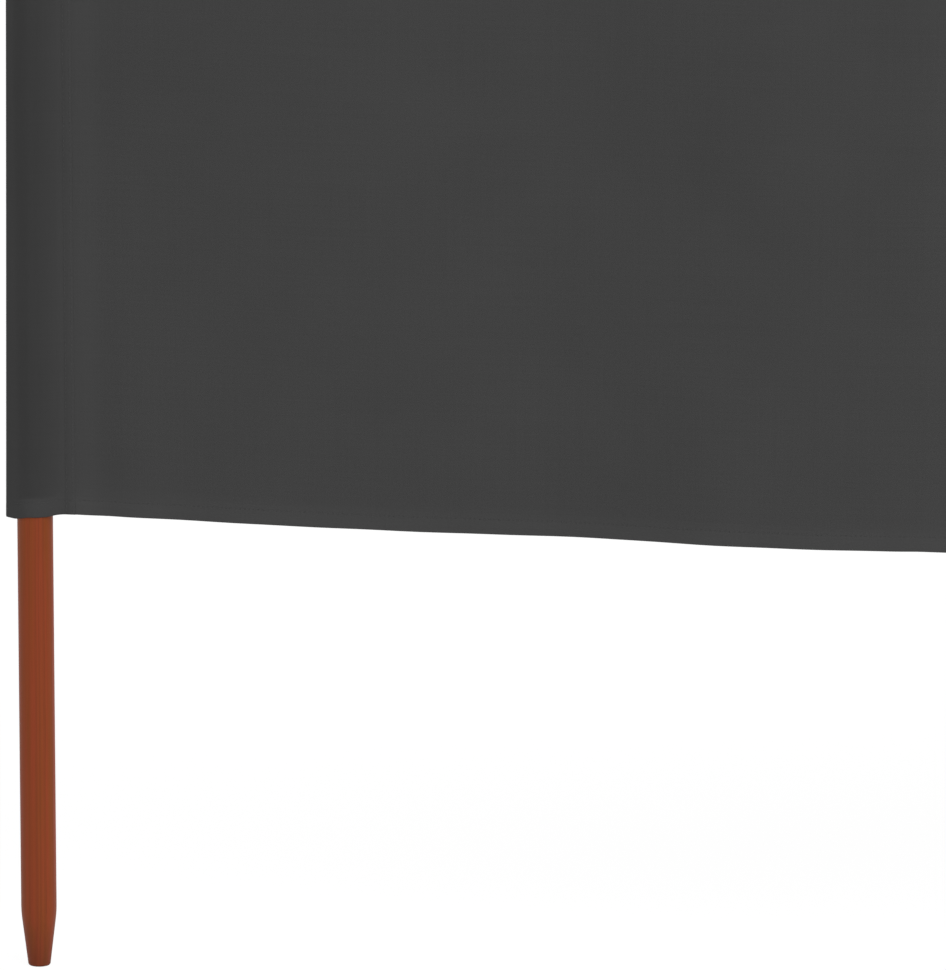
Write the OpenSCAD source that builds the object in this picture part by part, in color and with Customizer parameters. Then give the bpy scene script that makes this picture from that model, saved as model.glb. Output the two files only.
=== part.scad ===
// Beach windbreak: turned wooden poles pushed through sewn pockets in a run of fabric.
// Millimetres, +Z up. The origin is on the blunt end of the middle pole.
// The poles stand in a zigzag, and the side that faces -Y is the front.

/* [Layout] */
// Number of fabric bays, with a pole at each end of every bay
bays = 6; // [1:1:6]
// Distance between neighbouring poles, measured along the fabric
bay_w = 815; // [500:5:1500]
// Angle by which each bay is turned from the line of the windbreak
bay_turn = 15; // [0:1:35]

/* [Poles] */
// Diameter of a pole
pole_d = 30; // [20:1:45]
// Length of pole that stands above the fabric
top_stand = 10; // [5:1:100]
// Length of the turned taper at the foot
tip_len = 46.5; // [30:0.5:90]
// Diameter at the foot of the taper
tip_d = 18.5; // [10:0.5:19]
// Edge radius of the blunt end
tip_round = 2; // [0.5:0.25:4]
// Radius of the soft shoulder between the taper and the shaft
shoulder_round = 110; // [40:5:200]
// Edge radius at the top of a pole
top_round = 4; // [1:0.5:8]

/* [Fabric] */
// Height of the fabric from bottom hem to top hem
fabric_h = 800; // [400:10:1500]
// Bare length of pole below the fabric
spike_len = 390; // [200:5:600]
// Thickness of one layer of fabric
fabric_t = 1; // [0.6:0.1:1.5]
// Height of the hem that is turned over along the top and bottom edges
hem_h = 15; // [8:1:40]
// Layers of fabric in the hem
hem_layers = 2; // [2:1:3]
// Depth of the soft waves that the slack fabric hangs in
wave_depth = 12; // [0:1:30]
// Waves across one bay
waves = 2; // [1:1:4]

/* [Pockets] */
// Running gap between a pole and the pocket around it
pocket_gap = 0.3; // [0.2:0.05:1]
// Slack from the side of a pole to the seam beside it
seam_slack = 10; // [5:0.5:20]
// Width of the sewn seam, where a panel edge lies between two plies of pocket
seam_w = 10; // [6:0.5:20]
// Slack from the side of an end pole to the fold that closes its pocket
fold_slack = 8; // [5:0.5:20]

/* [Hidden] */
$fn = 96;
fabric_colour = [0.25, 0.25, 0.25];
pole_colour = [0.51, 0.25, 0.16];

// Steps that draw one wave, and degrees between the points of an arc
wave_steps = 12;
arc_step = 7.5;
shoulder_step = 2;
fold_step = 30;

poles = bays + 1;
home_pole = floor(bays / 2);
pole_r = pole_d / 2;
pole_len = spike_len + fabric_h + top_stand;
tip_r = tip_d / 2;

// Half thickness inside a seam is half the panel edge that lies between its two plies
slot_half = fabric_t / 2;
hem_t = hem_layers * fabric_t;
pocket_r = pole_r + pocket_gap;
seam_reach = pole_r + seam_slack;
seam_end = seam_reach + seam_w;
fold_reach = pole_r + fold_slack - slot_half - fabric_t;

// The waves fill the free width of a panel, between the seams at its two ends
free_w = bay_w - 2 * seam_end;

// Places along the zigzag

// Pole i counts from 0 at the left end, and every second pole stands further back
function pole_at(i) = [
    (i - home_pole) * bay_w * cos(bay_turn),
    abs(i - home_pole) % 2 * bay_w * sin(bay_turn),
    0
];

// Direction of bay i, from pole i to the next
function heading(i) = (abs(i - home_pole) % 2 == 0 ? 1 : -1) * bay_turn;

// Shared outlines

// Unit vector at an angle
function unit(a) = [cos(a), sin(a)];

// Points of an arc of radius r about c, from one angle to another
function arc(c, r, from, to, step = arc_step) =
    let (n = max(1, ceil(abs(to - from) / step)))
    [for (k = [0:n]) c + r * unit(from + (to - from) * k / n)];

function reversed(list) = [for (k = [len(list) - 1:-1:0]) list[k]];

// Plan of a layer of cloth between its two faces
module cloth_plan(face, other_face) {
    polygon(concat(face, reversed(other_face)));
}

// Standing cloth on the plan given first, with a hem along both edges on the plan given second
module hemmed_cloth() {
    linear_extrude(fabric_h) children(0);
    for (z = [0, fabric_h - hem_h])
        translate([0, 0, z]) linear_extrude(hem_h) children(1);
}

// Poles

// Half outline of a pole, from the axis at the blunt end round to the axis at the top
function pole_outline() =
    let (
        lean = atan((pole_r - tip_r) / tip_len),
        shoulder = [pole_r - shoulder_round, tip_len + shoulder_round * tan(lean / 2)]
    )
    concat(
        [[0, 0]],
        arc([tip_r - tip_round * tan(45 - lean / 2), tip_round], tip_round, -90, -lean),
        arc(shoulder, shoulder_round, -lean, 0, shoulder_step),
        arc([pole_r - top_round, pole_len - top_round], top_round, 0, 90),
        [[0, pole_len]]
    );

module pole(i) {
    color(pole_colour)
        translate(pole_at(i))
            rotate_extrude() polygon(pole_outline());
}

// Pockets
// The cloth follows the round of the pole, leaves it at a tangent and closes on a seam or a fold.
// Angles run anticlockwise in plan, and out is the distance from the inner face of the cloth.

// Angle from a seam, and from a fold, to the point where the cloth leaves the round of the pole
seam_leave = atan(slot_half / seam_reach) + acos(pocket_r / norm([seam_reach, slot_half]));
fold_leave = acos((pocket_r - slot_half) / fold_reach);

// Distance from the pole's axis at which a face of the cloth turns into the seam
function seam_turn(out) = (pocket_r + out - (slot_half + out) * sin(seam_leave)) / cos(seam_leave);

// Point along a seam that points at angle s, at a distance to its left
function seam_point(s, along, left) = along * unit(s) + left * unit(s + 90);

// Cloth round the pole itself
function round_pole(from, to, out) = arc([0, 0], pocket_r + out, from, to);

// Cloth that comes off the seam at angle s, and cloth that runs on to the seam at angle s
function off_seam(s, out) =
    [for (along = [seam_end, seam_turn(out)]) seam_point(s, along, slot_half + out)];
function on_seam(s, out) =
    [for (along = [seam_turn(out), seam_end]) seam_point(s, along, -slot_half - out)];

// One face of the cloth from the seam at angle s to the seam at angle e
function seam_to_seam(s, e, out) = concat(
    off_seam(s, out),
    round_pole(s + seam_leave, e - seam_leave, out),
    on_seam(e, out)
);

// One face of the cloth from the seam at angle s, round the fold at angle f and back to the seam
function seam_round_fold(s, f, out) = concat(
    off_seam(s, out),
    round_pole(s + seam_leave, f - fold_leave, out),
    arc(fold_reach * unit(f), slot_half + out, f - fold_leave, f + fold_leave, fold_step),
    round_pole(f + fold_leave, s + 360 - seam_leave, out),
    on_seam(s + 360, out)
);

// Plan of a pocket between two panels: a front ply and a back ply
module middle_pocket_plan(left, right, thick) {
    cloth_plan(seam_to_seam(left, right + 360, thick), seam_to_seam(left, right + 360, 0));
    cloth_plan(seam_to_seam(right, left, thick), seam_to_seam(right, left, 0));
}

// Plan of a pocket at a free end: one length of cloth, folded round the pole
module end_pocket_plan(seam, fold, thick) {
    cloth_plan(seam_round_fold(seam, fold, thick), seam_round_fold(seam, fold, 0));
}

module pocket_plan(i, thick) {
    if (i == 0) end_pocket_plan(heading(0), heading(0) + 180, thick);
    else if (i == bays) end_pocket_plan(heading(i - 1) + 180, heading(i - 1) + 360, thick);
    else middle_pocket_plan(heading(i - 1) + 180, heading(i), thick);
}

module pocket(i) {
    color(fabric_colour)
        translate(pole_at(i) + [0, 0, spike_len])
            hemmed_cloth() {
                pocket_plan(i, fabric_t);
                pocket_plan(i, hem_t);
            }
}

// Panels

// How far the slack fabric stands forward of the straight line, at a share from 0 to 1 of its free width
function wave_at(share) = -wave_depth * (1 - cos(360 * waves * share)) / 2;

// One face of the hanging fabric, at a distance out from its middle surface
function waved_face(out) =
    let (steps = wave_steps * waves)
    [for (k = [0:steps]) [seam_end + free_w * k / steps, wave_at(k / steps) + out]];

// One face of the whole panel, with the flat edges that lie in the two seams
function panel_face(out) = concat(
    [[seam_reach, out]],
    waved_face(out),
    [[bay_w - seam_reach, out]]
);

// The hems of a panel are turned to its back, and end at the seams
module panel(i) {
    color(fabric_colour)
        translate(pole_at(i) + [0, 0, spike_len])
            rotate(heading(i))
                hemmed_cloth() {
                    cloth_plan(panel_face(-slot_half), panel_face(slot_half));
                    cloth_plan(waved_face(-slot_half), waved_face(hem_t - slot_half));
                }
}

for (i = [0:bays]) {
    pole(i);
    pocket(i);
}
for (i = [0:bays - 1]) {
    panel(i);
}
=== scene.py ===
"""Looks of a beach windbreak: woven cloth with sewn pockets on turned and stained wooden poles.

Metres, in the frame of the solids: +Z up, and the front faces -Y. Every piece is made in its place.
"""

import math

import bmesh
import bpy
import numpy as np
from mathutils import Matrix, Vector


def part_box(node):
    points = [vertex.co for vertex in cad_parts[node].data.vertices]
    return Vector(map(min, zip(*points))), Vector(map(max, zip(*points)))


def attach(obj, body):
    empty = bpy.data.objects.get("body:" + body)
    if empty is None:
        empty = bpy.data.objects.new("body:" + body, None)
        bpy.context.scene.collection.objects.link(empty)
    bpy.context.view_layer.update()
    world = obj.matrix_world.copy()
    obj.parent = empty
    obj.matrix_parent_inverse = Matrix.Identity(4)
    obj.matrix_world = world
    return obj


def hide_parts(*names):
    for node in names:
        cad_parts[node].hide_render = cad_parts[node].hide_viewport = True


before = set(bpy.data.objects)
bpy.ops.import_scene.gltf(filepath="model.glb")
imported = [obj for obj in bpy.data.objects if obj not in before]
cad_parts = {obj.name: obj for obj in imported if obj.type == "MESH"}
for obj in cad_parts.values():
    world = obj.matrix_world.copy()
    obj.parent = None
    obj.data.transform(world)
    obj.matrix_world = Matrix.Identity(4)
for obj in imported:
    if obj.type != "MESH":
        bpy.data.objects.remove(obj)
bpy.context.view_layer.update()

BODY = "root"

# Seeds of what varies from piece to piece, to which the number of the piece is added
PANEL_SEED = 11
POCKET_STITCH_SEED = 61
POCKET_SEED = 111
POLE_SEED = 211

# Cloth: one ply, and the seam beside a pole, where a panel's edge lies between two plies of pocket
CLOTH_T = 0.0007
PLY_GAP = 0.00005
SEAM_REACH = 0.025
SEAM_W = 0.010
SEAM_END = SEAM_REACH + SEAM_W
EDGE_TUCK = 0.003

# Points on the cloth: the step between rows up its height, and the columns across a panel. These crowd
# together at the seams, and a few more lie on each edge that is tucked into its seam.
ROW_STEP = 0.006
PANEL_COLUMNS = 65
COLUMN_CROWDING = 0.6
TUCKED_COLUMNS = 3

# Hem along the top and bottom edges: height above the edge, and the shares of a ply's thickness that
# the plain layer and the turned layer have there. The row of stitches pulls both in. A panel's turned
# layer starts just past its seams, and the lighter painted shade of a pocket's hem fades just above it.
HEM_H = 0.015
HEM_PROFILE = np.array(
    [
        [0.0000, 0.25, 0.25],
        [0.0003, 0.75, 0.75],
        [0.0010, 1.00, 1.00],
        [0.0035, 1.00, 1.10],
        [0.0070, 1.00, 1.10],
        [0.0105, 1.00, 0.90],
        [0.0125, 0.90, 0.60],
        [0.0140, 1.00, 0.65],
        [0.0150, 1.00, 0.45],
        [0.0162, 1.00, 0.10],
        [0.0190, 1.00, 0.00],
    ]
)
EDGE_ROWS, PLAIN_SHARE, TURNED_SHARE = HEM_PROFILE.T
HEM_START = 0.001
HEM_FADE = 0.002

# The edge of a seam is pressed flat over this width, down to this share of its thickness
PRESSED_W = 0.0045
PRESSED_SHARE = 0.2

# Lines of stitches: the row of points along a hem, the column where it starts on a pocket, the distances
# of two lines from the edge of a seam, and the row where they start
HEM_STITCH_ROW = 6
HEM_STITCH_COLUMN = 2
SEAM_STITCH_INSETS = (0.0022, 0.0078)
SEAM_STITCH_ROW = 3

# A stitch is a bow of thread. Its ends dip into the cloth and a handle lifts its middle, both in radii of
# the thread. Stitches vary in length, breadth and height between these shares.
STITCH_PITCH = 0.0040
STITCH_LEN = 0.0034
THREAD_R = 0.00026
END_DIP = 1.2
BOW_HANDLE = 2.2
BOW_STEPS = 3
THREAD_SIDES = 3
SMALLEST_STITCH = (0.90, 0.92, 0.85)
LARGEST_STITCH = (1.08, 1.08, 1.15)

# Folds that the slack cloth of a bay hangs in: crest, half width and depth. The first two are shares of
# the bay's free width. The first bay has its own, and the others vary about the plain ones. A crest may
# lean by a share of that width, and the depth falls off upwards, by this power and to this share. A little
# slack hangs forward all across the bay, and the top edge sags. An ease is the distance from a seam over
# which a form sets in.
FIRST_BAY_FOLDS = np.array([[0.333, 0.36, 0.0110], [0.783, 0.26, 0.0138]])
PLAIN_FOLDS = np.array([[0.29, 0.29, 0.0105], [0.74, 0.27, 0.0110]])
FOLD_SPREAD = np.array([0.05, 0.03, 0.0030])
FOLD_LEAN = 0.04
FOLD_POWER = 1.5
FOLD_TOP = 0.62
FOLD_EASE = 0.05
HANG = 0.0020
TOP_SAG = 0.003

# Unevenness of the cloth: ripples of several lengths and a depth in step with them, a flutter along the
# hems, and puckers along the seams, which drift up and down. A flutter has the width of its wave and the
# height over which it fades, and a pucker has the height of its wave and the width over which it fades.
RIPPLES = (0.29, 0.21, 0.16, 0.12, 0.09)
RIPPLE_SHARE = 0.0022
RIPPLE_EASE = 0.07
FLUTTER = 0.0005
FLUTTER_W = 0.083
FLUTTER_H = 0.030
PUCKER = 0.00022
PUCKER_H = 0.021
PUCKER_W = 0.012
PUCKER_EASE = 0.004
PUCKER_DRIFT = 1.8
DRIFT_H = 0.13

# Pockets: the running gap round a pole, and the reach of an end pocket's fold, which flares at its foot.
# The corners of the way round a pole are softened, on points a small step apart.
POCKET_GAP = 0.0005
POCKET_POINTS = 36
END_POCKET_POINTS = 76
FOLD_REACH = 0.0200
FOLD_FLARE = 0.0050
FLARE_H = 0.48
FLARE_POWER = 1.1
CORNER_SOFTNESS = 0.0016
CORNER_STEP = 0.0004

# Loose cloth of a pocket: waves up its height, and their size. They ease in over this distance from a
# seam, and between these shares of the width from its middle.
LOOSE_WAVES = ((5.0, 0.00035), (9.0, 0.00025), (17.0, 0.00012))
LOOSE_EASE = 0.012
LOOSE_SHARES = (0.02, 0.2)

# The lower edge hangs lower beside a seam, still lower round a pole, and droops at the fold of an end
# pocket. This fades upwards. On a panel the reaches are from its seam, and on a pocket from the pole's axis.
SEAM_SAG = 0.0005
SEAM_SAG_REACHES = (0.010, 0.035)
POCKET_SAG = 0.0016
POCKET_SAG_REACHES = (0.012, 0.021)
FOLD_DROOP = 0.0029
DROOP_REACH = 0.017
SAG_H = 0.10

# Shares of the cloth's colour that paint light and shade into it. Painted shade darkens a pocket where its
# pole stands behind the thin cloth and takes the light from behind, less so at a fold, past its seams and
# in the three plies of the hem, and turns to a little painted light at the end of a seam. The reaches are
# places along the seam, from the pole's axis. A panel has painted light in a band beside its seam, and in
# its hem up to these heights above the edge.
FOLD_PAINTED_SHADE = 0.90
POCKET_PAINTED_SHADE = 0.735
POCKET_HEM_PAINTED_SHADE = 0.925
SEAM_PAINTED_LIGHT = 1.03
PAINTED_SHADE_REACHES = (-0.014, -0.002, 0.007, 0.036)
# Painted light on a panel: in a band beside its seam, and in its hems
BAND_PAINTED_LIGHT = 0.08
PAINTED_BAND_REACH = 0.047
PAINTED_BAND_W = 0.013
HEM_PAINTED_LIGHT = 0.085
HEM_PAINTED_LIGHT_HEIGHTS = (0.010, 0.024)

# Poles: the taper at the foot, the rounds, and the rings and sides of the mesh. Each end has rings at
# these shares of its radius. A pole's grain is a part of a long piece of wood.
TIP_LEN = 0.0465
TIP_R = 0.00925
TIP_ROUND = 0.002
SHOULDER_ROUND = 0.110
TOP_ROUND = 0.004
POLE_SIDES = 72
RING_STEP = 0.04
END_RINGS = np.array([0.3, 0.6])
GRAIN_LEN = 20

# Wear that darkens a pole: its share, and the height over which it fades. At the blunt end this is also
# painted shade on its rim.
FOOT_WEAR_AND_SHADE = (0.75, 0.0020)
TAPER_WEAR = (0.16, 0.045)
TOP_WEAR = (0.45, 0.0015)

# Light: strength of the world, and the strength at which it shows as white. The lamps are soft suns, with a
# strength and a turn in degrees from the front to the right. They stand this many degrees from straight up,
# and spread over this many.
WORLD_LIGHT = 0.55
WORLD_WHITE = 1.06
LAMPS = {"key": (1.45, 30), "rim": (0.5, 150)}
LAMP_TILT = 52
LAMP_SPREAD = 50

# Floor: half its width, the strength of the white that it shows, and the share of that white in what it shows
FLOOR_HALF = 60.0
FLOOR_WHITE = 1.08
FLOOR_GLOW = 0.85

# Camera: its place from the foot of the first pole, its angles in degrees, its lens in millimetres and how
# far it sees
CAMERA_PLACE = (0.0862, -6.9991, 1.756)
CAMERA_DOWN = 10.8736
CAMERA_TURN = -2.2993
CAMERA_LENS = 315.5
CAMERA_SIGHT = 200


# Places along the windbreak


def numbered(kind):
    """Names of the nodes of one kind, in order along the windbreak."""
    names = [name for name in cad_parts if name.startswith(kind)]
    return sorted(names, key=lambda name: int(name.rsplit("_", 1)[1]))


def plan_centre(node):
    """Centre of a node in plan."""
    low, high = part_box(node)
    return np.array((low + high) / 2)[:2]


POLES = numbered("pole_")
POCKETS = numbered("pocket_")
PANELS = numbered("panel_")
PLACES = [plan_centre(pole) for pole in POLES]
POLE_LOW, POLE_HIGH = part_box(POLES[0])
POLE_R = (POLE_HIGH.x - POLE_LOW.x) / 2
POLE_LEN = POLE_HIGH.z - POLE_LOW.z
CLOTH_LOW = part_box(PANELS[0])[0].z
CLOTH_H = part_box(PANELS[0])[1].z - CLOTH_LOW


def bay(i):
    """Start of bay i in plan, the way it runs, the way its front faces, and its length."""
    span = PLACES[i + 1] - PLACES[i]
    length = np.linalg.norm(span)
    along = span / length
    return PLACES[i], along, np.array([along[1], -along[0]]), length


def heading(way):
    """Angle of a way in plan."""
    return math.atan2(way[1], way[0])


# Shared shapes


def smooth_step(low, high, value):
    """0 below low and 1 above high, with a smooth rise between them."""
    share = np.clip((value - low) / (high - low), 0, 1)
    return share * share * (3 - 2 * share)


def unit(angle):
    """Unit vector at an angle in plan. Many angles give a row for each of its two parts."""
    return np.array([np.cos(angle), np.sin(angle)])


def arc(centre, radius, start, end, count=32):
    """Points of an arc about a centre, from one angle to another."""
    return np.asarray(centre) + radius * unit(np.linspace(start, end, count)).T


def standing(plan, heights):
    """Points in space from points in plan and their heights."""
    return np.concatenate([plan, heights[..., None]], axis=-1)


def cloth_rows():
    """Heights of the rows of points on a standing cloth, close together at its hems."""
    inner = EDGE_ROWS[-1]
    steps = round((CLOTH_H - 2 * inner) / ROW_STEP)
    middle = np.linspace(inner, CLOTH_H - inner, steps + 1)[1:-1]
    return np.concatenate([EDGE_ROWS, middle, CLOTH_H - EDGE_ROWS[::-1]])


ROWS = cloth_rows()
HEM_STITCH_ROWS = (HEM_STITCH_ROW, len(ROWS) - 1 - HEM_STITCH_ROW)
EDGE_DISTANCE = np.minimum(ROWS, CLOTH_H - ROWS)
PLAIN_T = CLOTH_T * np.interp(EDGE_DISTANCE, EDGE_ROWS, PLAIN_SHARE)
TURNED_T = CLOTH_T * np.interp(EDGE_DISTANCE, EDGE_ROWS, TURNED_SHARE)
IN_HEM = 1 - smooth_step(HEM_H, HEM_H + HEM_FADE, EDGE_DISTANCE)
SAG_FADE = np.exp(-ROWS / SAG_H)


def add_object(name, data, material=None):
    """Puts a mesh, a lamp or a camera into the scene as an object at the origin."""
    if material:
        data.materials.append(material)
    made = bpy.data.objects.new(name, data)
    bpy.context.scene.collection.objects.link(made)
    return made


def tidy_mesh(mesh, sharp_degrees):
    """Turns the faces of a closed mesh outwards and shades it smooth up to an angle."""
    work = bmesh.new()
    work.from_mesh(mesh)
    bmesh.ops.recalc_face_normals(work, faces=work.faces)
    work.to_mesh(mesh)
    work.free()
    mesh.shade_smooth()
    mesh.set_sharp_from_angle(angle=math.radians(sharp_degrees))


def set_attribute(mesh, name, kind, field, values):
    """Gives every point of a mesh a value, which a material or a node tree can read by its name."""
    attribute = mesh.attributes.new(name, kind, "POINT")
    attribute.data.foreach_set(field, np.asarray(values, np.float32).ravel())


def cloth_piece(name, face, back, run, painted_light):
    """A closed piece of cloth between two grids of points. The weave follows the flat cut, where run is
    the place of each column, and painted_light is the share of the cloth's colour at each point, which paints
    light and shade into it."""
    rows, columns = face.shape[:2]
    count = rows * columns
    index = np.arange(count).reshape(rows, columns)

    # Faces of the two grids, and of the rim between them
    grid = np.stack([index[:-1, :-1], index[:-1, 1:], index[1:, 1:], index[1:, :-1]], -1).reshape(-1, 4)
    rim = np.concatenate([index[0], index[1:, -1], index[-1, -2::-1], index[-2:0:-1, 0]])
    after = np.roll(rim, -1)
    closing = np.stack([rim, rim + count, after + count, after], -1)
    faces = np.concatenate([grid, grid[:, ::-1] + count, closing])
    mesh = bpy.data.meshes.new(name)
    mesh.from_pydata(np.concatenate([face.reshape(-1, 3), back.reshape(-1, 3)]), [], faces.tolist())
    tidy_mesh(mesh, sharp_degrees=50)

    # What its material reads: the painted light and shade of each point, and the place in the flat cut of
    # each face's corners
    set_attribute(mesh, "painted_light", "FLOAT", "value", np.tile(painted_light.ravel(), 2))
    corners = np.zeros(len(mesh.loops), np.int32)
    mesh.loops.foreach_get("vertex_index", corners)
    flat_cut = np.stack(np.broadcast_arrays(run, ROWS[:, None]), -1).reshape(-1, 2).astype(np.float32)
    mesh.uv_layers.new(name="weave").data.foreach_set("uv", flat_cut[corners % count].ravel())
    return add_object(name, mesh, CLOTH)


# Shader values


class Value:
    """A socket of a node tree. Arithmetic on it adds Math nodes to the tree."""

    def __init__(self, tree, socket=None):
        self.tree = tree
        self.socket = socket

    def node(self, kind, settings=None, sockets=None, out=0):
        """Adds a node, sets its settings, fills its sockets and gives one of its outputs."""
        made = self.tree.nodes.new(kind)
        for name, setting in (settings or {}).items():
            setattr(made, name, setting)
        for key, filling in (sockets or {}).items():
            if isinstance(filling, Value):
                self.tree.links.new(filling.socket, made.inputs[key])
            else:
                made.inputs[key].default_value = filling
        return Value(self.tree, made.outputs[out] if made.outputs else None)

    def output(self, name):
        """Another output of the node that this value comes from."""
        return Value(self.tree, self.socket.node.outputs[name])

    def math(self, operation, *values):
        """A Math node on these values."""
        return self.node("ShaderNodeMath", {"operation": operation}, dict(enumerate(values)))

    def __add__(self, other):
        return self.math("ADD", self, other)

    __radd__ = __add__

    def __sub__(self, other):
        return self.math("SUBTRACT", self, other)

    def __rsub__(self, other):
        return self.math("SUBTRACT", other, self)

    def __mul__(self, other):
        return self.math("MULTIPLY", self, other)

    __rmul__ = __mul__

    def __truediv__(self, other):
        return self.math("DIVIDE", self, other)

    def __rtruediv__(self, other):
        return self.math("DIVIDE", other, self)

    def __pow__(self, other):
        return self.math("POWER", self, other)

    def __rpow__(self, other):
        return self.math("POWER", other, self)

    def sine(self):
        """Sine of this angle."""
        return self.math("SINE", self)

    def largest(self, other):
        """The larger of this value and another."""
        return self.math("MAXIMUM", self, other)

    def rise(self, low, high):
        """0 below low and 1 above high, with a smooth rise between them."""
        settings = {"interpolation_type": "SMOOTHSTEP"}
        return self.node("ShaderNodeMapRange", settings, {"Value": self, "From Min": low, "From Max": high})

    def stretched(self, scale):
        """A vector with its parts scaled, for a pattern that is longer one way."""
        return self.node("ShaderNodeVectorMath", {"operation": "MULTIPLY"}, {0: self, 1: scale})

    def noise(self, scale, detail=2.0, roughness=0.5):
        """Noise from about 0 to 1 over this vector."""
        sockets = {"Vector": self, "Scale": scale, "Detail": detail, "Roughness": roughness}
        return self.node("ShaderNodeTexNoise", None, sockets)

    def between(self, first, second):
        """A colour between two others, by this share. A Mix node has them on its inputs 6 and 7."""
        sockets = {"Factor": self, 6: first, 7: second}
        return self.node("ShaderNodeMix", {"data_type": "RGBA"}, sockets, out=2)

    def shaded(self, share):
        """This colour, darkened or lightened by a share of itself."""
        return self.node("ShaderNodeVectorMath", {"operation": "SCALE"}, {0: self, "Scale": share})

    def bump(self, distance, strength=1.0):
        """Surface normal for this height."""
        return self.node("ShaderNodeBump", None, {"Height": self, "Distance": distance, "Strength": strength})


def new_material(name):
    """A material, its Principled shader and a value to start its nodes from."""
    material = bpy.data.materials.new(name)
    material.use_nodes = True
    tree = material.node_tree
    return material, tree.nodes["Principled BSDF"], Value(tree)


def feed(shader, **sockets):
    """Sets or links sockets of a shader, which are named with low lines for spaces."""
    for name, filling in sockets.items():
        socket = shader.inputs[name.replace("_", " ")]
        if isinstance(filling, Value):
            filling.tree.links.new(filling.socket, socket)
        else:
            socket.default_value = filling


# Materials


def anthracite_cloth():
    """Matt plain weave. Its threads differ a little and have long slubs, and the dye is slightly uneven."""
    grey = 0.0584
    thread = 0.0007
    slub = 1 / 12
    material, shader, start = new_material("anthracite_cloth")

    # Threads that pass over and under one another, along the flat cut
    place = start.node("ShaderNodeUVMap", {"uv_map": "weave"})
    parts = place.node("ShaderNodeSeparateXYZ", None, {0: place})
    over = [(parts.output(way) * (math.pi / thread)).sine() for way in ("X", "Y")]
    weave = over[0] * over[1]
    warp = place.stretched((1 / thread, 1 / slub, 0)).noise(0.5, detail=1.0)
    weft = place.stretched((1 / slub, 1 / thread, 0)).noise(0.5, detail=1.0)

    # Shade of the threads and of the dye, and the painted light and shade of the place on the piece
    dye = start.node("ShaderNodeTexCoord").output("Object").noise(11.0, detail=3.0, roughness=0.45)
    painted_light = start.node("ShaderNodeAttribute", {"attribute_name": "painted_light"}).output("Fac")
    shade = (0.86 + 0.05 * weave + 0.08 * warp + 0.08 * weft) * (0.94 + 0.12 * dye) * painted_light
    feed(
        shader,
        Base_Color=grey * shade,
        Roughness=0.86 + 0.08 * warp,
        Normal=(weave + 0.8 * warp + 0.8 * weft).bump(0.00006, 0.6),
        Specular_IOR_Level=0.12,
    )
    return material


def stained_wood():
    """Turned softwood under a red-brown satin stain, with its rings and fibres running up the pole."""
    pith = {"X": 0.034, "Y": 0.009}
    ring = 0.0024
    red = (0.268, 0.0455, 0.0150, 1)
    olive = (0.228, 0.0510, 0.0108, 1)
    dark = (0.080, 0.022, 0.008, 1)
    material, shader, start = new_material("stained_wood")
    grain = start.node("ShaderNodeAttribute", {"attribute_name": "grain"}).output("Vector")
    worn_and_shaded = start.node("ShaderNodeAttribute", {"attribute_name": "worn_and_shaded"}).output("Fac")
    parts = grain.node("ShaderNodeSeparateXYZ", None, {0: grain})

    # Patterns in the wood, by their waves a metre across and along the grain
    sway = grain.stretched((18, 18, 2.2)).noise(1.0, detail=2.0)
    cloud = grain.stretched((95, 95, 7.0)).noise(1.0, detail=1.0)
    streak = grain.stretched((260, 260, 3.0)).noise(1.0, detail=3.0, roughness=0.6)
    fibre = grain.stretched((1500, 1500, 14)).noise(1.0, detail=2.0, roughness=0.55)

    # Late wood, in uneven rings about the pith, which lies outside the pole
    east, north = (parts.output(way) - middle for way, middle in pith.items())
    reach = (east * east + north * north) ** 0.5
    years = {"X": reach / ring + 2.6 * sway, "Z": parts.output("Z") * 0.5}
    late = start.node("ShaderNodeCombineXYZ", None, years).noise(1.0).rise(0.46, 0.70)

    # Stain in two tints, darker in the pores, in late wood and where it is worn, and at the blunt end with
    # painted shade
    patch = 0.5 * streak + 0.5 * cloud
    stain = patch.rise(0.34, 0.66).between(red, olive)
    pores = fibre.rise(0.56, 0.74) * 0.32 + late * 0.24
    lined = pores.between(stain, dark)
    darkened = (worn_and_shaded * (0.75 + 0.5 * patch)).between(lined, dark)
    feed(
        shader,
        Base_Color=darkened.shaded(0.90 + 0.20 * fibre),
        Roughness=0.40 + 0.16 * fibre + 0.20 * worn_and_shaded,
        Normal=(fibre + 0.5 * late).bump(0.00012, 0.5),
        Specular_IOR_Level=0.14,
    )
    return material


def sewing_thread():
    """Twisted thread, a little paler than the cloth, with painted light that evens out the shade along its
    stitches.
    """
    material, shader, start = new_material("sewing_thread")
    twist = start.node("ShaderNodeTexCoord").output("Object").noise(2600.0, detail=1.0)
    # the paler colour is painted light against the shade of the stitch grooves
    feed(shader, Base_Color=0.046 + 0.046 * twist, Roughness=0.70 + 0.15 * twist, Specular_IOR_Level=0.2)
    return material


def shown_rays(start):
    """1 for a ray that shows what it meets: from the camera, off a gloss or through glass."""
    path = start.node("ShaderNodeLightPath")
    shown = path.output("Is Camera Ray").largest(path.output("Is Glossy Ray"))
    return shown.largest(path.output("Is Transmission Ray"))


def white_floor():
    """Pale floor that shows as white, and still takes the object's shadow."""
    material, shader, start = new_material("white_floor")
    feed(shader, Base_Color=(0.8, 0.8, 0.8, 1), Roughness=0.9, Specular_IOR_Level=0.0)
    white = start.node("ShaderNodeEmission", None, {"Color": (1, 1, 1, 1), "Strength": FLOOR_WHITE})
    pale = Value(start.tree, shader.outputs[0])
    mixed = start.node("ShaderNodeMixShader", None, {0: shown_rays(start) * FLOOR_GLOW, 1: pale, 2: white})
    start.tree.links.new(mixed.socket, start.tree.nodes["Material Output"].inputs["Surface"])
    return material


CLOTH = anthracite_cloth()
WOOD = stained_wood()
THREAD = sewing_thread()


# Stitches


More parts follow.
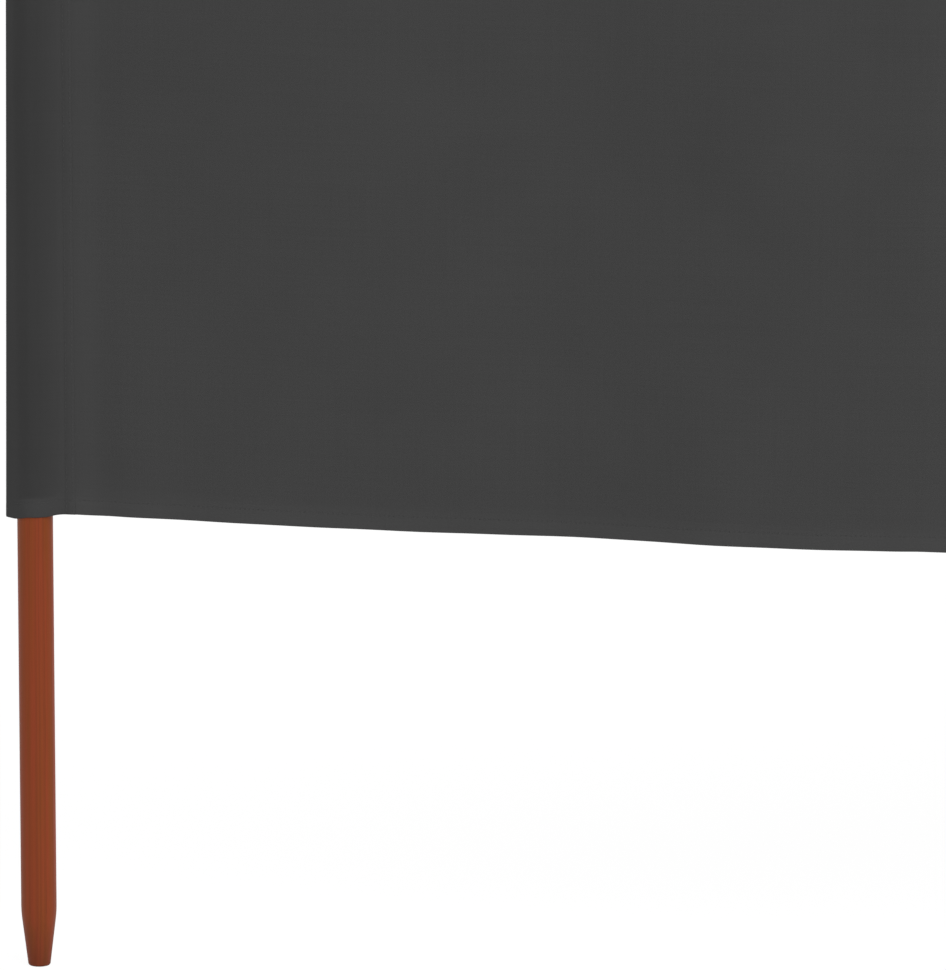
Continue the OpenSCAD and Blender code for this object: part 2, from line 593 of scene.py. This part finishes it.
def lockstitch_tree():
    """Geometry Nodes that lay stitches of thread along lines. Each line's facing attribute says which
    way its cloth faces."""
    tree = bpy.data.node_groups.new("lockstitch_rows", "GeometryNodeTree")
    inputs = {
        "Lines": "NodeSocketGeometry",
        "Pitch": "NodeSocketFloat",
        "Length": "NodeSocketFloat",
        "Thread Radius": "NodeSocketFloat",
        "Seed": "NodeSocketInt",
        "Thread": "NodeSocketMaterial",
    }
    for name, kind in inputs.items():
        tree.interface.new_socket(name, in_out="INPUT", socket_type=kind)
    tree.interface.new_socket("Stitches", in_out="OUTPUT", socket_type="NodeSocketGeometry")
    start = Value(tree)
    given = start.node("NodeGroupInput")

    # Places of the stitches
    line = start.node("GeometryNodeMeshToCurve", None, {"Mesh": given.output("Lines")})
    spacing = {"Curve": line, "Length": given.output("Pitch")}
    points = start.node("GeometryNodeResampleCurve", {"mode": "LENGTH"}, spacing)

    # One stitch, along X and up Z
    radius = given.output("Thread Radius")
    half = given.output("Length") * 0.5
    dip = radius * -END_DIP
    ends = [start.node("ShaderNodeCombineXYZ", None, {"X": half * side, "Z": dip}) for side in (-1, 1)]
    handle = start.node("ShaderNodeCombineXYZ", None, {"Z": radius * BOW_HANDLE})
    bow_points = {"Resolution": BOW_STEPS, "Start": ends[0], "Middle": handle, "End": ends[1]}
    bow = start.node("GeometryNodeCurveQuadraticBezier", None, bow_points)
    thread_round = {"Resolution": THREAD_SIDES, "Radius": radius}
    ring = start.node("GeometryNodeCurvePrimitiveCircle", None, thread_round)
    sweep = {"Curve": bow, "Profile Curve": ring, "Fill Caps": True}
    stitch = start.node("GeometryNodeCurveToMesh", None, sweep)

    # Its turn and size at each place
    tangent = start.node("GeometryNodeInputTangent")
    facing = start.node("GeometryNodeInputNamedAttribute", {"data_type": "FLOAT_VECTOR"}, {"Name": "facing"})
    lying = start.node("FunctionNodeAlignRotationToVector", {"axis": "X"}, {"Vector": tangent})
    about_line = {"axis": "Z", "pivot_axis": "X"}
    upright = {"Rotation": lying, "Vector": facing}
    turned = start.node("FunctionNodeAlignRotationToVector", about_line, upright)
    sizes = {0: SMALLEST_STITCH, 1: LARGEST_STITCH, "Seed": given.output("Seed")}
    uneven = start.node("FunctionNodeRandomValue", {"data_type": "FLOAT_VECTOR"}, sizes)

    # A stitch at each place, made real
    copies = {"Points": points, "Instance": stitch, "Rotation": turned, "Scale": uneven}
    placed = start.node("GeometryNodeInstanceOnPoints", None, copies)
    real = start.node("GeometryNodeRealizeInstances", None, {"Geometry": placed})
    smooth = start.node("GeometryNodeSetShadeSmooth", None, {"Geometry": real})
    finish = {"Geometry": smooth, "Material": given.output("Thread")}
    sewn = start.node("GeometryNodeSetMaterial", None, finish)
    start.node("NodeGroupOutput", None, {"Stitches": sewn})
    return tree


LOCKSTITCH = lockstitch_tree()


def stitch_rows(name, lines, seed):
    """Stitches along lines of points, each with the way its cloth faces, as one plain mesh."""
    points = np.concatenate([line for line, _ in lines])
    facing = np.concatenate([np.broadcast_to(way, line.shape) for line, way in lines])

    # Neighbouring points are joined, except from the end of a line to the start of the next
    ends = np.cumsum([len(line) for line, _ in lines])
    edges = [(k, k + 1) for k in range(len(points) - 1) if k + 1 not in ends]
    mesh = bpy.data.meshes.new(f"{name}_lines")
    mesh.from_pydata(points, edges, [])
    set_attribute(mesh, "facing", "FLOAT_VECTOR", "vector", facing)
    guide = add_object(f"{name}_lines", mesh)
    modifier = guide.modifiers.new("lockstitch", "NODES")
    modifier.node_group = LOCKSTITCH
    sizes = {
        "Pitch": STITCH_PITCH,
        "Length": STITCH_LEN,
        "Thread Radius": THREAD_R,
        "Seed": seed,
        "Thread": THREAD,
    }
    for socket in LOCKSTITCH.interface.items_tree:
        if socket.name in sizes:
            modifier[socket.identifier] = sizes[socket.name]

    # The stitches become a plain mesh, and their guide goes
    sewn = guide.evaluated_get(bpy.context.evaluated_depsgraph_get())
    piece = add_object(name, bpy.data.meshes.new_from_object(sewn))
    guide.modifiers.remove(modifier)
    bpy.data.objects.remove(guide)
    return piece


# Panels


def folds_of(i, random):
    """Crest, half width and depth of the folds of bay i."""
    if i == 0:
        return FIRST_BAY_FOLDS
    return PLAIN_FOLDS + FOLD_SPREAD * random.uniform(-1, 1, PLAIN_FOLDS.shape)


def slack(i, across, width, rise, reach):
    """How far the cloth of bay i stands forward of the straight line between its seams. Across runs
    over its free width, rise from 0 to 1 up its height, and reach is the distance to the nearer seam."""
    random = np.random.default_rng(PANEL_SEED + i)
    height = rise * CLOTH_H

    # Slack that hangs in folds
    forward = np.full_like(rise, HANG)
    for crest, half, depth in folds_of(i, random):
        lean = random.uniform(-FOLD_LEAN, FOLD_LEAN)
        off = np.clip((across / width - crest - lean * rise) / half, -1, 1)
        fullness = FOLD_TOP + (1 - FOLD_TOP) * (1 - rise) ** FOLD_POWER
        forward += depth * fullness * (1 + np.cos(np.pi * off)) / 2
    forward *= smooth_step(0.0, FOLD_EASE, reach)

    # Ripples any way across the cloth, and a flutter along its hems
    free = smooth_step(0.0, RIPPLE_EASE, reach)
    for length in RIPPLES:
        turn = random.uniform(0, np.pi)
        phase = random.uniform(0, 2 * np.pi)
        way = np.cos(turn) * across + np.sin(turn) * height
        forward += RIPPLE_SHARE * length * free * np.sin(2 * np.pi * way / length + phase)
    flutter = np.sin(2 * np.pi * across / FLUTTER_W + random.uniform(0, 2 * np.pi))
    forward += FLUTTER * flutter * free * np.exp(-np.minimum(height, CLOTH_H - height) / FLUTTER_H)

    # Puckers up the seams
    drift = PUCKER_DRIFT * np.sin(2 * np.pi * height / DRIFT_H)
    pucker = np.sin(2 * np.pi * height / PUCKER_H + drift)
    return forward + PUCKER * pucker * np.exp(-reach / PUCKER_W) * smooth_step(0.0, PUCKER_EASE, reach)


def panel_columns(length):
    """Distances along a bay of its columns of points, close together at the seams."""
    steps = np.linspace(0, 1, PANEL_COLUMNS)
    eased = steps - COLUMN_CROWDING * np.sin(2 * np.pi * steps) / (2 * np.pi)
    tucked = np.linspace(SEAM_REACH + EDGE_TUCK, SEAM_END, TUCKED_COLUMNS, endpoint=False)
    free = SEAM_END + (length - 2 * SEAM_END) * eased
    return np.concatenate([tucked, free, length - tucked[::-1]])


def panel_cloth(i):
    """One bay of cloth with its hems turned to the back, its lines of stitches and its flat width."""
    start, along, front, length = bay(i)
    width = length - 2 * SEAM_END
    columns = panel_columns(length)
    near = np.minimum(columns, length - columns)
    across, rise = np.meshgrid(np.clip(columns - SEAM_END, 0, width), ROWS / CLOTH_H)
    reach = np.broadcast_to(np.clip(near - SEAM_END, 0, None), rise.shape)

    # Its front and its back, slack between the seams and with sagging edges
    middle = slack(i, across, width, rise, reach)
    top_sag = TOP_SAG * 4 * across * (width - across) / width**2 * rise**2
    seam_sag = SEAM_SAG * (1 - smooth_step(*SEAM_SAG_REACHES, reach)) * SAG_FADE[:, None]
    heights = CLOTH_LOW + ROWS[:, None] - top_sag - seam_sag

    def surface(out):
        """Points this far in front of the middle of the cloth."""
        plan = start + along * columns[None, :, None] + front * (middle + out)[..., None]
        return standing(plan, heights)

    face = surface(PLAIN_T[:, None] / 2)
    back = surface(-PLAIN_T[:, None] / 2 - TURNED_T[:, None] * smooth_step(0.0, HEM_START, reach))

    # Painted light, which makes it paler in a band beside the seams and in the hems
    band = BAND_PAINTED_LIGHT * np.exp(-(((near - PAINTED_BAND_REACH) / PAINTED_BAND_W) ** 2))
    hem = HEM_PAINTED_LIGHT * (1 - smooth_step(*HEM_PAINTED_LIGHT_HEIGHTS, EDGE_DISTANCE))
    painted_light = 1 + band + hem[:, None]
    cloth = cloth_piece(f"{PANELS[i]}_cloth", face, back, columns, painted_light)

    # Stitches along both hems, in front and behind
    free = near > SEAM_END + HEM_START
    ahead = np.append(front, 0)
    lines = []
    for row in HEM_STITCH_ROWS:
        lines += [(face[row, free], ahead), (back[row, free], -ahead)]
    return cloth, lines, length - 2 * SEAM_REACH


# Pockets
# The cloth follows the round of its pole, leaves it at a tangent and closes on a seam or a fold.

PLY_OFF = CLOTH_T + PLY_GAP
WRAP_R = POLE_R + POCKET_GAP + CLOTH_T / 2
SEAM_LEAVE = math.atan(PLY_OFF / SEAM_REACH) + math.acos(WRAP_R / math.hypot(SEAM_REACH, PLY_OFF))


def spaced(path, count):
    """Evenly spaced points along a path, and its length."""
    run = np.concatenate([[0], np.cumsum(np.linalg.norm(np.diff(path, axis=0), axis=1))])
    places = np.linspace(0, run[-1], count)
    return np.stack([np.interp(places, run, path[:, k]) for k in (0, 1)], -1), run[-1]


def soft_path(points, count):
    """Evenly spaced points along a path with soft corners, and its length."""
    length = spaced(points, 2)[1]
    dense, _ = spaced(points, round(length / CORNER_STEP))

    # Each point is an average of those near it. The path is carried on past its ends, so that they stay.
    wide = round(3 * CORNER_SOFTNESS / CORNER_STEP)
    offsets = np.arange(-wide, wide + 1) * CORNER_STEP
    weights = np.exp(-((offsets / CORNER_SOFTNESS) ** 2) / 2)
    before = 2 * dense[0] - dense[wide:0:-1]
    after = 2 * dense[-1] - dense[-2 : -wide - 2 : -1]
    padded = np.concatenate([before, dense, after])
    soft = np.stack([np.convolve(padded[:, k], weights / weights.sum(), "valid") for k in (0, 1)], -1)
    return spaced(soft, count)


def seam_points(angle, side):
    """Ends of the flat part of a seam that points at an angle, on its left (1) or its right (-1)."""
    left = side * PLY_OFF * unit(angle + math.pi / 2)
    return [SEAM_END * unit(angle) + left, SEAM_REACH * unit(angle) + left]


def ply_path(start, end):
    """Middle of a ply that runs anticlockwise round the pole, from one seam to the other."""
    round_pole = arc((0, 0), WRAP_R, start + SEAM_LEAVE, end - SEAM_LEAVE)
    return np.concatenate([seam_points(start, 1), round_pole, seam_points(end, -1)[::-1]])


def folded_path(seam, reach):
    """Middle of a cloth that runs anticlockwise from the seam, round the fold opposite and back."""
    fold = seam + math.pi
    nose = CLOTH_T
    leave = math.acos((WRAP_R - nose) / reach)
    back_of_pole = arc((0, 0), WRAP_R, seam + SEAM_LEAVE, fold - leave)
    round_fold = arc(reach * unit(fold), nose, fold - leave, fold + leave)
    front_of_pole = arc((0, 0), WRAP_R, fold + leave, seam + 2 * math.pi - SEAM_LEAVE)
    return np.concatenate(
        [seam_points(seam, 1), back_of_pole, round_fold, front_of_pole, seam_points(seam, -1)[::-1]]
    )


def ease(run, length, random):
    """How far loose cloth stands off its straightest way round the pole, row by row. It never reaches the
    pole, and lies flat at its seams and half way between them, where an end pocket has its fold."""
    share = run / length
    loose = np.zeros((len(ROWS), len(run)))
    for waves, size in LOOSE_WAVES:
        phases = random.uniform(0, 2 * np.pi, 2)
        swing = np.sin(2 * np.pi * waves * ROWS / CLOTH_H + phases[0])[:, None]
        loose += size * swing * np.sin(4 * np.pi * share + phases[1])
    off_seam = smooth_step(SEAM_W, SEAM_W + LOOSE_EASE, np.minimum(run, length - run))
    off_fold = smooth_step(*LOOSE_SHARES, abs(share - 0.5))
    return np.maximum(loose, -POCKET_GAP / 2) * off_seam * off_fold


def pocket_sag(along_seam):
    """How far a pocket's lower edge hangs down, by the distance along the seam from the pole's axis."""
    round_pole = 1 - smooth_step(*POCKET_SAG_REACHES, along_seam)
    at_fold = smooth_step(0.0, DROOP_REACH, -along_seam)
    return SEAM_SAG + (POCKET_SAG - SEAM_SAG) * round_pole + FOLD_DROOP * at_fold


def pocket_ply(name, place, paths, seams, random):
    """A ply of pocket cloth along a path for each row, its lines of stitches and the width of its rows."""
    widths = np.array([length for _, length in paths])
    length = widths.max()

    # Middle of the cloth, standing off its path, and the way it faces
    middle = np.array([path for path, _ in paths])
    run = np.linspace(0, length, middle.shape[1])
    tangent = np.gradient(middle, axis=1)
    tangent /= np.linalg.norm(tangent, axis=-1, keepdims=True)
    out = np.stack([tangent[..., 1], -tangent[..., 0]], -1)
    middle = middle + out * ease(run, length, random)[..., None]

    # Its two sides, pressed together at the seams
    along_seam = np.max([middle @ unit(seam) for seam in seams], axis=0)
    heights = CLOTH_LOW + ROWS[:, None] - pocket_sag(along_seam) * SAG_FADE[:, None]
    pressed = np.interp(np.minimum(run, length - run), [0, PRESSED_W], [PRESSED_SHARE, 1])
    thick = (PLAIN_T + TURNED_T)[:, None] * pressed
    inner = place + middle - out * PLAIN_T[:, None, None] / 2
    face = standing(inner + out * thick[..., None], heights)

    # Painted shade, darkest over the pole, lighter in the hem and turning to painted light at the seams' ends
    # painted shade and painted light of the pocket, by the place along its seam
    painted_shades = (FOLD_PAINTED_SHADE, POCKET_PAINTED_SHADE, POCKET_PAINTED_SHADE, SEAM_PAINTED_LIGHT)
    painted_light = np.interp(along_seam, PAINTED_SHADE_REACHES, painted_shades)
    painted_light += np.maximum(POCKET_HEM_PAINTED_SHADE - painted_light, 0) * IN_HEM[:, None]
    cloth = cloth_piece(name, face, standing(inner, heights), run, painted_light)

    # Stitches up both seams and along both hems
    facing = standing(out, np.zeros(out.shape[:2]))
    rows = slice(SEAM_STITCH_ROW, -SEAM_STITCH_ROW)
    columns = slice(HEM_STITCH_COLUMN, -HEM_STITCH_COLUMN)
    lines = []
    for inset in SEAM_STITCH_INSETS:
        column = round(inset / run[1])
        lines += [(face[rows, k], facing[rows, k]) for k in (column, -1 - column)]
    lines += [(face[row, columns], facing[row, columns]) for row in HEM_STITCH_ROWS]
    return cloth, lines, widths


def middle_pocket(i):
    """Front and back ply of a pocket between two bays."""
    random = np.random.default_rng(POCKET_SEED + i)
    left = heading(-bay(i - 1)[1]) % (2 * math.pi)
    right = heading(bay(i)[1])
    plies = []
    for side, start, end in (("front", left, right + 2 * math.pi), ("back", right, left)):
        paths = [soft_path(ply_path(start, end), POCKET_POINTS)] * len(ROWS)
        plies.append(pocket_ply(f"{POCKETS[i]}_{side}", PLACES[i], paths, (left, right), random))
    return plies


def end_pocket(i):
    """Cloth that is folded round an end pole. Its fold flares at the foot, and is drawn in by the turned
    layer of a hem, so that the hem doesn't stand out there."""
    random = np.random.default_rng(POCKET_SEED + i)
    seam = heading(bay(0)[1] if i == 0 else -bay(i - 1)[1])
    reaches = FOLD_REACH + FOLD_FLARE * np.clip(1 - ROWS / FLARE_H, 0, 1) ** FLARE_POWER - TURNED_T
    paths = [soft_path(folded_path(seam, reach), END_POCKET_POINTS) for reach in reaches]
    return [pocket_ply(f"{POCKETS[i]}_cloth", PLACES[i], paths, (seam,), random)]


# Poles


def pole_profile():
    """Radius and height of each ring of a pole, from the blunt end to the top."""
    lean = math.atan((POLE_R - TIP_R) / TIP_LEN)
    rim = (TIP_R - TIP_ROUND * math.tan((math.pi / 2 - lean) / 2), TIP_ROUND)
    shoulder = (POLE_R - SHOULDER_ROUND, TIP_LEN + SHOULDER_ROUND * math.tan(lean / 2))
    edge = (POLE_R - TOP_ROUND, POLE_LEN - TOP_ROUND)
    shaft = np.arange(2 * TIP_LEN, POLE_LEN - RING_STEP / 2, RING_STEP)

    def level(radii, heights):
        """Rings of these radii at these heights."""
        return np.stack(np.broadcast_arrays(radii, heights), -1)

    return np.concatenate(
        [
            level(END_RINGS * TIP_R, 0),
            arc(rim, TIP_ROUND, -math.pi / 2, -lean, count=7),
            arc(shoulder, SHOULDER_ROUND, -lean, 0, count=9),
            level(POLE_R, shaft),
            arc(edge, TOP_ROUND, 0, math.pi / 2, count=8),
            level(END_RINGS[::-1] * POLE_R, POLE_LEN),
        ]
    )


def wear_and_shade(height):
    """How dark a pole is worn: at its blunt end, where this is also painted shade, faintly up the taper, and
    at the edge of its top.
    """

    def fading(share, fade, distance):
        """Wear that fades with the distance from where it starts."""
        return share * np.exp(-distance / fade)

    foot = fading(*FOOT_WEAR_AND_SHADE, height) + fading(*TAPER_WEAR, height)
    return np.maximum(foot, fading(*TOP_WEAR, POLE_LEN - height))


def wooden_pole(i):
    """A turned pole, with its own part of the tree's grain."""
    random = np.random.default_rng(POLE_SEED + i)
    profile = pole_profile()
    ways = unit(np.linspace(0, 2 * math.pi, POLE_SIDES, endpoint=False)).T
    plan = profile[:, None, :1] * ways
    rings = standing(plan, np.broadcast_to(profile[:, 1:], plan.shape[:2]))
    local = np.concatenate([rings.reshape(-1, 3), [[0, 0, 0], [0, 0, POLE_LEN]]])

    # Faces between the rings, and a fan of them on each end
    index = np.arange(plan.shape[0] * POLE_SIDES).reshape(-1, POLE_SIDES)
    after = np.roll(index, -1, axis=1)
    sides = np.stack([index[:-1], after[:-1], after[1:], index[1:]], -1).reshape(-1, 4)
    foot = len(local) - 2
    top = foot + 1
    ends = [(foot, b, a) for a, b in zip(index[0], after[0])]
    ends += [(top, a, b) for a, b in zip(index[-1], after[-1])]
    mesh = bpy.data.meshes.new(f"{POLES[i]}_wood")
    mesh.from_pydata(local + np.append(PLACES[i], POLE_LOW.z), [], sides.tolist() + ends)
    tidy_mesh(mesh, sharp_degrees=60)

    # What its material reads: the grain, turned about the axis and from any part of the wood, and the wear
    # with the painted shade of the blunt end
    turn = random.uniform(0, 2 * math.pi)
    turned = local[:, :2] @ np.array([unit(turn), unit(turn + math.pi / 2)])
    grain = np.column_stack([turned, local[:, 2] + random.uniform(0, GRAIN_LEN)])
    set_attribute(mesh, "grain", "FLOAT_VECTOR", "vector", grain)
    set_attribute(mesh, "worn_and_shaded", "FLOAT", "value", wear_and_shade(local[:, 2]))
    return add_object(f"{POLES[i]}_wood", mesh, WOOD)


# Assembly


def settle(piece, node=None):
    """Fixes a piece to the windbreak, in the place of a node if it stands for one."""
    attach(piece, BODY)
    if node:
        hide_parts(node)


def hang(cloth, stitches, node, **sheet):
    """Fixes a cloth and its stitches in the place of a node. The flat sheet that it is given is not used."""
    settle(cloth, node)
    settle(stitches)


def build_windbreak():
    """Poles, panels and pockets. Each sheet is cut higher than the cloth, by the turn of its two hems."""
    cut_h = CLOTH_H + 2 * HEM_H
    for i, node in enumerate(POLES):
        settle(wooden_pole(i), node)
    for i, node in enumerate(PANELS):
        cloth, lines, width = panel_cloth(i)
        stitches = stitch_rows(f"{node}_stitches", lines, PANEL_SEED + i)
        hang(cloth, stitches, node, flat=(width, cut_h), held="stretched", rests_on=POCKETS[i : i + 2])
    for i, node in enumerate(POCKETS):
        at_end = i in (0, len(POCKETS) - 1)
        plies = end_pocket(i) if at_end else middle_pocket(i)
        for cloth, lines, widths in plies:
            stitches = stitch_rows(f"{cloth.name}_stitches", lines, POCKET_STITCH_SEED + i)
            hang(
                cloth,
                stitches,
                node,
                flat=(widths.max(), cut_h),
                area=np.average(widths, weights=np.gradient(ROWS)) * cut_h,
                held="folded" if at_end else "stretched",
                rests_on=[POLES[i]],
            )


# Stage


def soft_lamp(name, strength, turn):
    """A soft sun, turned from the front to the right."""
    sun = bpy.data.lights.new(name, "SUN")
    sun.energy = strength
    sun.angle = math.radians(LAMP_SPREAD)
    add_object(name, sun).rotation_euler = (math.radians(LAMP_TILT), 0, math.radians(turn))


def build_stage():
    """White floor and world, a soft key light from the front right and a weaker one from behind."""
    corners = [(x * FLOOR_HALF, y * FLOOR_HALF, 0) for x, y in ((-1, -1), (1, -1), (1, 1), (-1, 1))]
    mesh = bpy.data.meshes.new("floor")
    mesh.from_pydata(corners, [], [(0, 1, 2, 3)])
    add_object("floor", mesh, white_floor())
    world = bpy.data.worlds.new("white_studio")
    world.use_nodes = True
    shown = shown_rays(Value(world.node_tree))
    light = WORLD_LIGHT + (WORLD_WHITE - WORLD_LIGHT) * shown
    feed(world.node_tree.nodes["Background"], Color=(1, 1, 1, 1), Strength=light)
    bpy.context.scene.world = world
    for name, (strength, turn) in LAMPS.items():
        soft_lamp(name, strength, turn)


def build_camera():
    """Long lens from the front, above the cloth, on the foot of the first pole and the cloth beside it."""
    lens = bpy.data.cameras.new("camera")
    lens.lens = CAMERA_LENS
    lens.clip_end = CAMERA_SIGHT
    camera = add_object("camera", lens)
    camera.location = np.append(PLACES[0], 0) + CAMERA_PLACE
    camera.rotation_euler = (math.radians(90 - CAMERA_DOWN), 0, math.radians(CAMERA_TURN))
    bpy.context.scene.camera = camera
    bpy.context.scene.view_settings.view_transform = "Standard"


build_camera()
build_windbreak()
build_stage()

bpy.context.view_layer.update()
